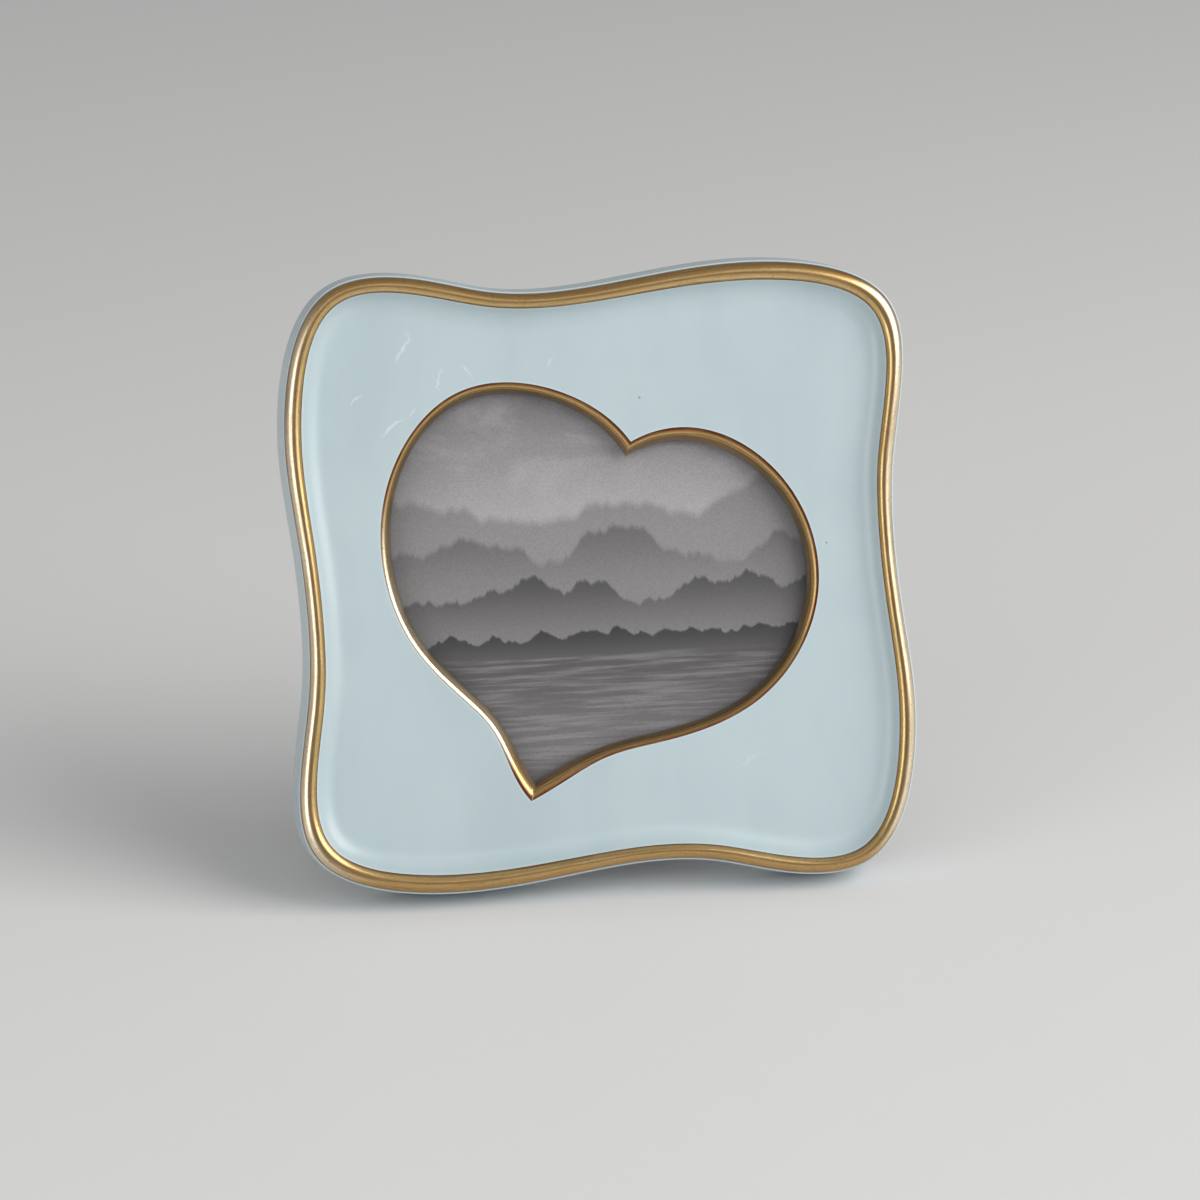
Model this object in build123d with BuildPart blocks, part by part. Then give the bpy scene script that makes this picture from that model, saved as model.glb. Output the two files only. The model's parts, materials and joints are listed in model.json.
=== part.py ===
"""A small table frame, cast, lacquered and gilded, with a heart window and a velvet easel back.

Sizes are in millimetres. X runs across the frame, +Z is up and the face looks towards -Y.
The frame leans back on its two lower lobes and on the strut's foot, all three on Z = 0.
On the frame's own plane, heights are measured from the back face towards the viewer.
"""

import os
from math import asin, cos, radians, sin

from build123d import *

# Driving sizes of the casting
casting_depth = 16.0            # back face to the crest of the bead
wall_draft = 1.0                # the back edge stands out this far beyond the front edge
back_edge_round = 0.6
shoulder_height = 13.7          # where the wall turns over to the bead's outer foot
shoulder_round = 0.5
shoulder_width = 0.4            # blue left showing outside the gilding
bead_width = 3.9                # mean, across the gilding
bead_fall = 1.2                 # crest down to the bead's inner edge
cove_width = 5.2                # hollow between the bead and the flat of the dish
foot_flat_depth = 0.5           # ground off under the two lower lobes

# Driving sizes of the window and of what lies behind it
print_width = 101.6             # a square four inch print
print_lap = 0.3                 # the print passes the lip's outer edge by this, on each side
heart_border = 22.5             # lip's outer edge to the frame's edge, on each side
heart_drop = 2.6                # the window's middle lies this far below the frame's middle
lip_width = 2.4                 # mean, seen from the front
lip_depth = 3.0
lip_land = 0.6                  # upright edge left between the bevel and the glass
inlay_clearance = 0.5           # on each side, in the pocket
pocket_corner = 1.0
glass_thickness = 2.0
print_thickness = 0.25
card_thickness = 2.25

# Driving sizes of the easel back
board_clearance = 0.3           # on each side, in the pocket
board_corner = 1.5
board_core_thickness = 3.0
board_velvet_thickness = 0.5
lining_thickness = 0.2
lining_margin = 2.0             # the lining stops short of the board's edge

# Driving sizes of the strut
lean_angle = 16.0               # frame, back from upright
strut_angle = 34.0              # between the board and the open strut
strut_top_width = 30.0
strut_foot_width = 56.0
strut_top_corner = 4.0
strut_core_thickness = 1.8
strut_velvet_thickness = 0.4
strut_lining_margin = 1.0
strut_top_gap = 2.0             # hinge axis down to the strut's top edge

# Driving sizes of the hinge
hinge_drop = 24.4               # axis below the back panel's top edge
hinge_width = 26.0
leaf_length = 14.0
leaf_thickness = 0.7
leaf_corner = 3.0
knuckle_length = 4.5
knuckle_gap = 0.15              # endways, between neighbouring knuckles
knuckle_lift = 0.15             # knuckles clear the velvet by this much
leaf_notch_gap = 0.3            # fixed leaf clears the moving knuckles by this much
pin_radius = 0.95
pin_overhang = 0.4
running_fit = 0.05              # radial, round the pin and the screws
tongue_width = 6.0
stop_gap = 0.02                 # left under the tongue when the strut stands open
rivet_radius = 1.0
rivet_head_radius = 1.7
rivet_head_height = 0.6
rivet_spacing = 15.0            # two in each leaf
rivet_distance = 8.5            # from the hinge axis

# Driving sizes of the turn buttons and their screws
button_width = 7.0
button_reach = 8.5              # pivot to the middle of the rounded end
button_thickness = 1.0
button_gap = 0.1                # above the back, and below the screw's head
button_margin = 5.5             # pivot from the pocket's edge
button_spacing = 60.0           # up the frame, between the two on each side
screw_radius = 1.0
screw_head_radius = 2.2
screw_head_height = 1.1
screw_depth = 6.0
overrun = 2.0                   # cuts pass this far beyond what they cut

# The front outline: eight points to the half, which half a turn repeats. Each has its place as shares
# of the frame's width, and the bead's width there as a share of its mean.
outline_half_shares = (
    (0.468, 0.053, 0.89),
    (0.473, 0.170, 0.94),
    (0.471, 0.422, 1.14),
    (0.300, 0.486, 1.08),
    (-0.164, 0.459, 0.90),
    (-0.261, 0.481, 0.94),
    (-0.412, 0.468, 0.93),
    (-0.489, 0.283, 0.99),
)
outline_start_angle = 91.6      # which way the outline sets out from its first point, from +X
# The bead's section, from its outer foot over the crest to its inner edge, as shares of its width and
# of its rise above the outer foot. The last height follows from the bead's fall.
bead_section_shares = (
    (0.07, 0.52), (0.21, 0.88), (0.43, 1.0), (0.78, 0.82),
)
cove_steps = 3

# The heart's outer lip, from the notch down the left lobe to the tip and up the right lobe, as shares
# of the heart's width, each with the lip's width there as a share of its mean.
heart_left_shares = (
    (0.081, 0.330, 1.45),
    (-0.070, 0.449, 1.05),
    (-0.313, 0.458, 1.00),
    (-0.451, 0.320, 0.92),
    (-0.499, 0.098, 1.00),
    (-0.439, -0.108, 0.92),
    (-0.327, -0.241, 1.00),
    (-0.262, -0.317, 1.00),
    (-0.232, -0.389, 1.22),
    (-0.184, -0.479, 1.78),
)
heart_right_shares = (
    (-0.096, -0.432, 1.22),
    (-0.014, -0.390, 0.97),
    (0.124, -0.358, 0.94),
    (0.359, -0.266, 0.92),
    (0.494, -0.048, 1.04),
    (0.450, 0.196, 1.08),
    (0.272, 0.345, 1.35),
)
# The lip's section, from the dish over a soft shoulder and down the bevel, as shares of its width
# and of its depth.
lip_section_shares = (
    (0.0, 0.0), (0.28, 0.11), (1.0, 1.0),
)

os.makedirs("parts", exist_ok=True)

# Widths, from the print outwards
heart_width = print_width - 2 * print_lap
frame_width = heart_width + 2 * heart_border
pocket_width = print_width + 2 * inlay_clearance
board_width = pocket_width - 2 * board_clearance

# Heights above the back face, through the stack in the pocket
board_front = board_velvet_thickness + board_core_thickness
card_back = board_front + lining_thickness
print_back = card_back + card_thickness
glass_back = print_back + print_thickness
glass_front = glass_back + glass_thickness
lip_foot = glass_front + lip_land
dish_height = lip_foot + lip_depth
bead_inner_height = casting_depth - bead_fall
cove_depth = bead_inner_height - dish_height

# Outline points
half_outline = [Vector(x, y) * frame_width for x, y, _ in outline_half_shares]
outline = half_outline + [point * -1 for point in half_outline]
bead_widths = [share * bead_width for _, _, share in outline_half_shares * 2]
heart_shares = heart_left_shares + heart_right_shares
heart_middle = Vector(0, -heart_drop)
heart = [heart_middle + Vector(x, y) * heart_width for x, y, _ in heart_shares]
lip_widths = [share * lip_width for _, _, share in heart_shares]


def moved_in(points, distances):
    """Move each point of a closed outline inwards, square to the chord between its neighbours."""
    moved = []
    for k, point in enumerate(points):
        chord = points[(k + 1) % len(points)] - points[k - 1]
        inward = Vector(-chord.Y, chord.X).normalized()
        moved.append(point + inward * distances[k])
    return moved


def draw_rim(insets):
    """Draw the outline moved in by these insets: one half, then the same half turned about."""
    ring = moved_in(outline, insets)
    half = len(half_outline)
    start = Vector(1, 0).rotate(Axis.Z, outline_start_angle)
    Spline(*ring[: half + 1], tangents=(start, start * -1))
    Spline(*ring[half:], ring[0], tangents=(start * -1, start))


def rim_rings():
    """Every ring of the casting's surface, from the back edge over the bead to the dish."""
    rings = [(0, [back_edge_round - wall_draft] * len(outline))]
    rings.append((back_edge_round, [-wall_draft] * len(outline)))
    rings.append((shoulder_height - shoulder_round, [0] * len(outline)))
    rings.append((shoulder_height, [shoulder_width] * len(outline)))
    rise = casting_depth - shoulder_height
    for across, up in bead_section_shares:
        insets = [shoulder_width + across * width for width in bead_widths]
        rings.append((shoulder_height + up * rise, insets))
    bead_insets = [shoulder_width + width for width in bead_widths]
    cove_radius = (cove_width**2 + cove_depth**2) / (2 * cove_depth)
    cove_turn = asin(min(cove_width / cove_radius, 1))
    for step in range(cove_steps + 1):
        angle = cove_turn * (1 - step / cove_steps)
        across = cove_width - cove_radius * sin(angle)
        height = dish_height + cove_radius * (1 - cos(angle))
        rings.append((height, [inset + across for inset in bead_insets]))
    return rings


def lowest(insets):
    """The lowest point of the outline, moved in by these insets."""
    with BuildLine() as ring:
        draw_rim(insets)
    return ring.line.bounding_box().min.Y


# Where the frame, the hinge and the strut stand
lean_sin = sin(radians(lean_angle))
lean_cos = cos(radians(lean_angle))
rings = rim_rings()
middle_height = -min(lowest(insets) * lean_cos + height * lean_sin for height, insets in rings)
middle_height -= foot_flat_depth
hinge_height = board_width / 2 - heart_drop - hinge_drop
knuckle_radius = pin_radius + running_fit + leaf_thickness
leaf_face = pin_radius + running_fit      # from the hinge axis to the moving leaf's inner face
axis_height = -(knuckle_lift + knuckle_radius)
strut_sin = sin(radians(strut_angle - lean_angle))
strut_cos = cos(radians(strut_angle - lean_angle))
axis_y = hinge_height * lean_sin - axis_height * lean_cos
axis_z = middle_height + hinge_height * lean_cos + axis_height * lean_sin
strut_run = axis_z / strut_cos            # hinge axis to the table, along the strut
front_reach = min(lowest(insets) * lean_sin - height * lean_cos for height, insets in rings)
rear_reach = axis_y + strut_run * strut_sin + leaf_face / strut_cos
middle_y = -(front_reach + rear_reach) / 2

face_plane = Plane((0, middle_y, middle_height), x_dir=(1, 0, 0), z_dir=(0, -lean_cos, lean_sin))
strut_plane = Plane(
    (0, middle_y + axis_y, axis_z), x_dir=(1, 0, 0), z_dir=(0, -strut_cos, -strut_sin)
)
hinge_plane = Plane(strut_plane.origin, x_dir=face_plane.y_dir, z_dir=(1, 0, 0))
moving_hinge_plane = Plane(strut_plane.origin, x_dir=strut_plane.y_dir, z_dir=(1, 0, 0))


def finish(piece, name):
    piece.part.label = name
    export_step(piece.part, f"parts/{name}.step")


# Turn button pivots, seen from the front
pivot_x = pocket_width / 2 + button_margin
pivots = {
    "upper_left": (-pivot_x, button_spacing / 2 - heart_drop),
    "upper_right": (pivot_x, button_spacing / 2 - heart_drop),
    "lower_left": (-pivot_x, -button_spacing / 2 - heart_drop),
    "lower_right": (pivot_x, -button_spacing / 2 - heart_drop),
}

# Casting: rings lofted from the back edge over the bead and down the cove
with BuildPart() as frame_casting:
    for height, insets in rings:
        with BuildSketch(face_plane.offset(height)):
            with BuildLine():
                draw_rim(insets)
            make_face()
    loft(ruled=True)
    # Heart window with its bevelled lip
    lip_rings = [(dish_height - down * lip_depth, across) for across, down in lip_section_shares]
    lip_rings.insert(0, (dish_height + overrun, 0))
    lip_rings.append((glass_front - overrun, 1))
    tip = len(heart_left_shares)
    for height, across in lip_rings:
        ring = moved_in(heart, [across * width for width in lip_widths])
        with BuildSketch(face_plane.offset(height)):
            with BuildLine():
                Spline(*ring[:tip])
                Spline(*ring[tip - 1:], ring[0])
            make_face()
    loft(ruled=True, mode=Mode.SUBTRACT)
    # Pocket for the glass, the print and the back panel
    with BuildSketch(face_plane.offset(-overrun)):
        with Locations(heart_middle):
            RectangleRounded(pocket_width, pocket_width, pocket_corner)
    extrude(amount=glass_front + overrun, mode=Mode.SUBTRACT)
    # Pilot holes for the turn button screws
    with BuildSketch(face_plane.offset(-overrun)):
        with Locations(*pivots.values()):
            Circle(screw_radius)
    extrude(amount=screw_depth + overrun, mode=Mode.SUBTRACT)
    # Feet ground flat under the two lower lobes
    split(bisect_by=Plane.XY, keep=Keep.TOP)
finish(frame_casting, "frame_casting")

# What lies in the pocket, front to back
with BuildPart() as glass_pane:
    with BuildSketch(face_plane.offset(glass_back)):
        with Locations(heart_middle):
            Rectangle(print_width, print_width)
    extrude(amount=glass_thickness)
finish(glass_pane, "glass_pane")

with BuildPart() as photo_print:
    with BuildSketch(face_plane.offset(print_back)):
        with Locations(heart_middle):
            Rectangle(print_width, print_width)
    extrude(amount=print_thickness)
finish(photo_print, "photo_print")

with BuildPart() as filler_card:
    with BuildSketch(face_plane.offset(card_back)):
        with Locations(heart_middle):
            Rectangle(print_width, print_width)
    extrude(amount=card_thickness)
finish(filler_card, "filler_card")

# Back panel: fibreboard core in a velvet tray, with a paper lining
core_width = board_width - 2 * board_velvet_thickness
core_corner = board_corner - board_velvet_thickness
board_rivet_places = [
    (side * rivet_spacing / 2, hinge_height + rivet_distance) for side in (-1, 1)
]

with BuildSketch() as core_shape:
    with Locations(heart_middle):
        Rectangle(core_width, core_width)
    chamfer(core_shape.vertices(), core_corner)

with BuildPart() as board_core:
    with BuildSketch(face_plane.offset(board_velvet_thickness)):
        add(core_shape.sketch)
        with Locations(*board_rivet_places):
            Circle(rivet_radius, mode=Mode.SUBTRACT)
    extrude(amount=board_core_thickness)
finish(board_core, "board_core")

with BuildPart() as board_velvet:
    with BuildSketch(face_plane):
        with Locations(heart_middle):
            RectangleRounded(board_width, board_width, board_corner)
    extrude(amount=board_front)
    with BuildSketch(face_plane.offset(board_velvet_thickness)):
        add(core_shape.sketch)
    extrude(amount=board_core_thickness, mode=Mode.SUBTRACT)
    with BuildSketch(face_plane):
        with Locations(*board_rivet_places):
            Circle(rivet_radius)
    extrude(amount=board_velvet_thickness, mode=Mode.SUBTRACT)
finish(board_velvet, "board_velvet")

lining_width = board_width - 2 * lining_margin
with BuildPart() as board_lining:
    with BuildSketch(face_plane.offset(board_front)):
        with Locations(heart_middle):
            Rectangle(lining_width, lining_width)
    extrude(amount=lining_thickness)
finish(board_lining, "board_lining")

# Knuckle places along the hinge
fixed_knuckle_x = (hinge_width - knuckle_length) / 2
moving_knuckle_x = fixed_knuckle_x - knuckle_length - knuckle_gap
moving_width = 2 * moving_knuckle_x + knuckle_length
notch_width = moving_width + 2 * knuckle_gap
notch_top = hinge_height + knuckle_radius + leaf_notch_gap

# Fixed leaf: a plate on the velvet with two rolled knuckles, notched for the moving ones
with BuildPart() as hinge_fixed_leaf:
    with BuildSketch(face_plane.offset(-leaf_thickness)) as fixed_plate:
        with Locations((0, hinge_height)):
            Rectangle(hinge_width, leaf_length, align=(Align.CENTER, Align.MIN))
        fillet(fixed_plate.vertices().group_by(Axis.Y)[-1], leaf_corner)
        with Locations((0, notch_top)):
            Rectangle(notch_width, leaf_length, align=(Align.CENTER, Align.MAX), mode=Mode.SUBTRACT)
        with Locations(*board_rivet_places):
            Circle(rivet_radius, mode=Mode.SUBTRACT)
    extrude(amount=leaf_thickness)
    for side in (-1, 1):
        with BuildSketch(hinge_plane.offset(side * fixed_knuckle_x)):
            Circle(knuckle_radius)
        extrude(amount=knuckle_length / 2, both=True)
    with BuildSketch(hinge_plane):
        Circle(pin_radius)
    extrude(amount=hinge_width, both=True, mode=Mode.SUBTRACT)
finish(hinge_fixed_leaf, "hinge_fixed_leaf")

with BuildPart() as hinge_pin:
    with BuildSketch(hinge_plane):
        Circle(pin_radius)
    extrude(amount=hinge_width / 2 + pin_overhang, both=True)
finish(hinge_pin, "hinge_pin")

# Rivets: heads on the leaf, shanks clinched flush inside the board
with BuildPart() as board_rivets:
    with BuildSketch(face_plane.offset(board_front)):
        with Locations(*board_rivet_places):
            Circle(rivet_radius)
    extrude(amount=-board_front - leaf_thickness)
    with BuildSketch(face_plane.offset(-leaf_thickness)):
        with Locations(*board_rivet_places):
            Circle(rivet_head_radius)
    extrude(amount=-rivet_head_height)
finish(board_rivets, "board_rivets")

# Strut outline, drawn down from the hinge axis and on past the table, which cuts it off
with BuildSketch() as strut_shape:
    with BuildLine():
        Polyline(
            (strut_top_width / 2, -strut_top_gap),
            (-strut_top_width / 2, -strut_top_gap),
            (-strut_foot_width / 2, -strut_run),
            (-strut_foot_width / 2, -strut_run - overrun),
            (strut_foot_width / 2, -strut_run - overrun),
            (strut_foot_width / 2, -strut_run),
            close=True,
        )
    make_face()
    fillet(strut_shape.vertices().group_by(Axis.Y)[-1], strut_top_corner)

strut_rivet_places = [(side * rivet_spacing / 2, -rivet_distance) for side in (-1, 1)]
strut_rear = -leaf_face
strut_core_rear = strut_rear + strut_velvet_thickness
strut_core_front = strut_core_rear + strut_core_thickness

with BuildPart() as strut_core:
    with BuildSketch(strut_plane.offset(strut_core_rear)):
        add(strut_shape.sketch)
        offset(amount=-strut_velvet_thickness)
        with Locations(*strut_rivet_places):
            Circle(rivet_radius, mode=Mode.SUBTRACT)
    extrude(amount=strut_core_thickness)
    split(bisect_by=Plane.XY, keep=Keep.TOP)
finish(strut_core, "strut_core")

with BuildPart() as strut_velvet:
    with BuildSketch(strut_plane.offset(strut_rear)):
        add(strut_shape.sketch)
        with Locations(*strut_rivet_places):
            Circle(rivet_radius, mode=Mode.SUBTRACT)
    extrude(amount=strut_core_front - strut_rear)
    with BuildSketch(strut_plane.offset(strut_core_rear)):
        add(strut_shape.sketch)
        offset(amount=-strut_velvet_thickness)
    extrude(amount=strut_core_thickness, mode=Mode.SUBTRACT)
    split(bisect_by=Plane.XY, keep=Keep.TOP)
finish(strut_velvet, "strut_velvet")

with BuildPart() as strut_lining:
    with BuildSketch(strut_plane.offset(strut_core_front)):
        add(strut_shape.sketch)
        offset(amount=-strut_lining_margin)
        with Locations((0, strut_lining_margin - strut_run)):
            Rectangle(
                strut_foot_width,
                strut_lining_margin + overrun,
                align=(Align.CENTER, Align.MAX),
                mode=Mode.SUBTRACT,
            )
    extrude(amount=lining_thickness)
finish(strut_lining, "strut_lining")

# Moving leaf: a plate on the strut's outer face, two rolled knuckles, and between them a tongue that
# runs on past the pin and comes down on the fixed leaf when the strut is open
stop_height = -axis_height - leaf_thickness - stop_gap
tongue_length = (stop_height + leaf_face * cos(radians(strut_angle))) / sin(radians(strut_angle))
plate_top = -knuckle_radius - leaf_notch_gap
with BuildPart() as hinge_moving_leaf:
    with BuildSketch(strut_plane.offset(-leaf_face - leaf_thickness)) as moving_plate:
        with Locations((0, -leaf_length)):
            Rectangle(hinge_width, leaf_length + plate_top, align=(Align.CENTER, Align.MIN))
        fillet(moving_plate.vertices().group_by(Axis.Y)[0], leaf_corner)
        with Locations((0, plate_top)):
            Rectangle(moving_width, -plate_top, align=(Align.CENTER, Align.MIN))
            Rectangle(tongue_width, tongue_length - plate_top, align=(Align.CENTER, Align.MIN))
        with Locations(*strut_rivet_places):
            Circle(rivet_radius, mode=Mode.SUBTRACT)
    extrude(amount=leaf_thickness)
    for side in (-1, 1):
        with BuildSketch(moving_hinge_plane.offset(side * moving_knuckle_x)):
            Circle(knuckle_radius)
            Circle(leaf_face, mode=Mode.SUBTRACT)
        extrude(amount=knuckle_length / 2, both=True)
finish(hinge_moving_leaf, "hinge_moving_leaf")

with BuildPart() as strut_rivets:
    with BuildSketch(strut_plane.offset(strut_core_front)):
        with Locations(*strut_rivet_places):
            Circle(rivet_radius)
    extrude(amount=-strut_core_front - leaf_face - leaf_thickness)
    with BuildSketch(strut_plane.offset(-leaf_face - leaf_thickness)):
        with Locations(*strut_rivet_places):
            Circle(rivet_head_radius)
    extrude(amount=-rivet_head_height)
finish(strut_rivets, "strut_rivets")

# Turn buttons, all turned in over the back panel
for corner, (x, y) in pivots.items():
    middle_x = x - button_reach / 2 if x > 0 else x + button_reach / 2
    with BuildPart() as turn_button:
        with BuildSketch(face_plane.offset(-button_gap)):
            with Locations((middle_x, y)):
                SlotCenterToCenter(button_reach, button_width)
        extrude(amount=-button_thickness)
        with BuildSketch(face_plane.offset(-button_gap)):
            with Locations((x, y)):
                Circle(screw_radius + running_fit)
        extrude(amount=-button_thickness, mode=Mode.SUBTRACT)
    finish(turn_button, f"turn_button_{corner}")

with BuildPart() as turn_button_screws:
    head_seat = -2 * button_gap - button_thickness
    with BuildSketch(face_plane.offset(screw_depth)):
        with Locations(*pivots.values()):
            Circle(screw_radius)
    extrude(amount=head_seat - screw_depth)
    with BuildSketch(face_plane.offset(head_seat)):
        with Locations(*pivots.values()):
            Circle(screw_head_radius)
    extrude(amount=-screw_head_height)
finish(turn_button_screws, "turn_button_screws")
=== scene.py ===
import json
import math

import bmesh
import bpy
from mathutils import Matrix, Vector
from mathutils.kdtree import KDTree


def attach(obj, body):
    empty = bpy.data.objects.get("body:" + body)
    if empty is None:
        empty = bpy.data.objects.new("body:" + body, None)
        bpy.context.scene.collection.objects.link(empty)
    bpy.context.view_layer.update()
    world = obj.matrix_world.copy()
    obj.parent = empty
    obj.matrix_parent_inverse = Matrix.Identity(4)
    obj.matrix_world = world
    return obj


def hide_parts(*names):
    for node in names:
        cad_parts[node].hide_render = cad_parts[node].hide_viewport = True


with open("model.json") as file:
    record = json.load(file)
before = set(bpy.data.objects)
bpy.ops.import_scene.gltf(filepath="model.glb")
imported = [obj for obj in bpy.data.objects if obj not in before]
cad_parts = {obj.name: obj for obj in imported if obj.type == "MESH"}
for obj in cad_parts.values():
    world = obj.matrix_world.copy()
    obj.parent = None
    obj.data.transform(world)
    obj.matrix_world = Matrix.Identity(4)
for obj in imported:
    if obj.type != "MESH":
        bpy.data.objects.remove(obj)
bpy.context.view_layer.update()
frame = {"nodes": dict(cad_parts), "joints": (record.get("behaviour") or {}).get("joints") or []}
mm = 0.001


# Places on the leaning frame: x across it, y up it, z out of the face from the back
turnJoints = [joint for joint in frame["joints"] if joint["name"].startswith("turn_")]
faceNormal = Vector(turnJoints[0]["axis"]).normalized()
across = Vector((1, 0, 0))
upFace = faceNormal.cross(across)
pocketMiddle = sum((Vector(joint["pos_m"]) for joint in turnJoints), Vector()) / len(turnJoints)
faceMatrix = Matrix((across, upFace, faceNormal)).transposed().to_4x4()
faceMatrix.translation = pocketMiddle
toFace = faceMatrix.inverted()


# Socket arithmetic for the materials
class Wire:
    def __init__(self, finish, socket):
        self.finish = finish
        self.socket = socket

    def math(self, operation, *others):
        return self.finish.add("ShaderNodeMath", {"operation": operation}, [self, *others])

    def __add__(self, other):
        return self.math("ADD", other)

    def __sub__(self, other):
        return self.math("SUBTRACT", other)

    def __mul__(self, other):
        return self.math("MULTIPLY", other)

    def __truediv__(self, other):
        return self.math("DIVIDE", other)

    def __pow__(self, other):
        return self.math("POWER", other)

    def __rsub__(self, other):
        return (self * -1.0) + other

    def __rtruediv__(self, other):
        return (self ** -1.0) * other

    __radd__ = __add__
    __rmul__ = __mul__

    def above(self, low, high):
        # 0 under low, 1 over high, eased between
        return self.finish.add(
            "ShaderNodeMapRange",
            {"interpolation_type": "SMOOTHSTEP"},
            {"Value": self, "From Min": low, "From Max": high},
        )


class Finish:
    def __init__(self, name):
        self.material = bpy.data.materials.new(name)
        self.material.use_nodes = True
        self.tree = self.material.node_tree
        self.tree.nodes.clear()

    def add(self, kind, settings=None, sockets=None, output=0):
        node = self.tree.nodes.new(kind)
        for name, value in (settings or {}).items():
            if name == "stops":
                # a ramp starts with two stops, its first and its last
                ramp = node.color_ramp
                for place, _ in value[1:-1]:
                    ramp.elements.new(place)
                ramp.elements[0].position = value[0][0]
                ramp.elements[-1].position = value[-1][0]
                for element, (_, colour) in zip(ramp.elements, value):
                    element.color = (*colour, 1)
            else:
                setattr(node, name, value)
        pairs = sockets.items() if isinstance(sockets, dict) else enumerate(sockets or [])
        for name, value in pairs:
            if isinstance(value, Wire):
                self.tree.links.new(value.socket, node.inputs[name])
            else:
                node.inputs[name].default_value = value
        return Wire(self, node.outputs[output])

    def mixed(self, factor, first, second):
        # the colour sockets of a Mix node are numbers 6 and 7, and its colour output is 2
        firstColour = (*first, 1) if isinstance(first, tuple) else first
        secondColour = (*second, 1) if isinstance(second, tuple) else second
        sockets = {0: factor, 6: firstColour, 7: secondColour}
        return self.add("ShaderNodeMix", {"data_type": "RGBA"}, sockets, 2)

    def place(self):
        return self.add("ShaderNodeTexCoord", output="Object")

    def facePlace(self):
        # Object coordinates turned into the frame's own plane, in metres from the pocket's middle
        vector = self.place()
        parts = []
        for axis in (across, upFace, faceNormal):
            sockets = [vector, tuple(axis)]
            settings = {"operation": "DOT_PRODUCT"}
            dot = self.add("ShaderNodeVectorMath", settings, sockets, "Value")
            parts.append(dot - axis.dot(pocketMiddle))
        return parts

    def joined(self, parts):
        return self.add("ShaderNodeCombineXYZ", None, parts)

    def stretched(self, parts, scales):
        return self.joined([part * scale for part, scale in zip(parts, scales)])

    def attribute(self, name):
        return self.add("ShaderNodeAttribute", {"attribute_name": name}, None, "Fac")

    def noise(self, vector, scale, detail, roughness, distortion=0.0):
        sockets = {"Vector": vector, "Scale": scale, "Detail": detail, "Roughness": roughness}
        sockets["Distortion"] = distortion
        return self.add("ShaderNodeTexNoise", None, sockets)

    def bump(self, height, depth, strength, over=None):
        sockets = {"Height": height, "Distance": depth, "Strength": strength}
        if over:
            sockets["Normal"] = over
        return self.add("ShaderNodeBump", None, sockets)

    def surface(self, **values):
        sockets = {name.replace("_", " "): value for name, value in values.items()}
        return self.show(self.add("ShaderNodeBsdfPrincipled", None, sockets))

    def show(self, shader):
        end = self.tree.nodes.new("ShaderNodeOutputMaterial")
        self.tree.links.new(shader.socket, end.inputs["Surface"])
        return self.material


# Gloss lacquer over the casting, laid on with a wide brush
lacquerLook = {
    "blue": (0.455, 0.555, 0.588),
    "deepBlue": (0.425, 0.523, 0.555),
    "paleBlue": (0.49, 0.59, 0.62),
    "wispWhite": (0.62, 0.71, 0.735),
    "pit": (0.19, 0.25, 0.27),
    # a painted highlight on the glaze fillet beside the gilding
    "edgeHighlightColour": (0.53, 0.66, 0.71),
    "brushScale": (55, 14, 30),
    "cloudScale": 34.0,
    # in mm: across and up from the middle, lean in degrees, long and wide, how strong
    "wisps": (
        (-43.6, 56.8, 56.0, 4.0, 0.46, 0.70),
        (-41.9, 59.9, -62.0, 1.8, 0.30, 0.40),
        (-54.6, 46.0, 40.0, 2.4, 0.34, 0.70),
        (-46.6, 39.4, 36.0, 3.8, 0.50, 0.70),
        (-41.8, 42.6, 58.0, 2.2, 0.28, 0.45),
        (-35.4, 49.6, 80.0, 3.6, 0.32, 0.55),
        (-28.6, 51.2, -52.0, 3.2, 0.34, 0.50),
        (-9.6, 52.8, 48.0, 2.2, 0.30, 0.35),
        (33.0, -41.0, 30.0, 4.2, 0.40, 0.30),
    ),
    # how far a wisp bows at its ends, and how fine and how far its sides fray
    "bow": 0.8 * mm,
    "frayScale": 560.0,
    "fray": 2.8 * mm,
    # in mm: across and up from the middle, and the radius
    "pits": ((10.6, 43.4, 0.30), (52.5, 7.9, 0.26)),
    "pitDepth": 0.25 * mm,
    # wisps and pits lie above this height, and so only on the front
    "front": (10.0 * mm, 10.5 * mm),
    # the painted highlight beside the gilding ends between these ways off it, in mm
    "edgeHighlightBand": (0.10, 0.60),
    "waveDepth": 0.16 * mm,
    "roughness": 0.34,
    "coat": 0.35,
    "coatRoughness": 0.26,
}


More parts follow.
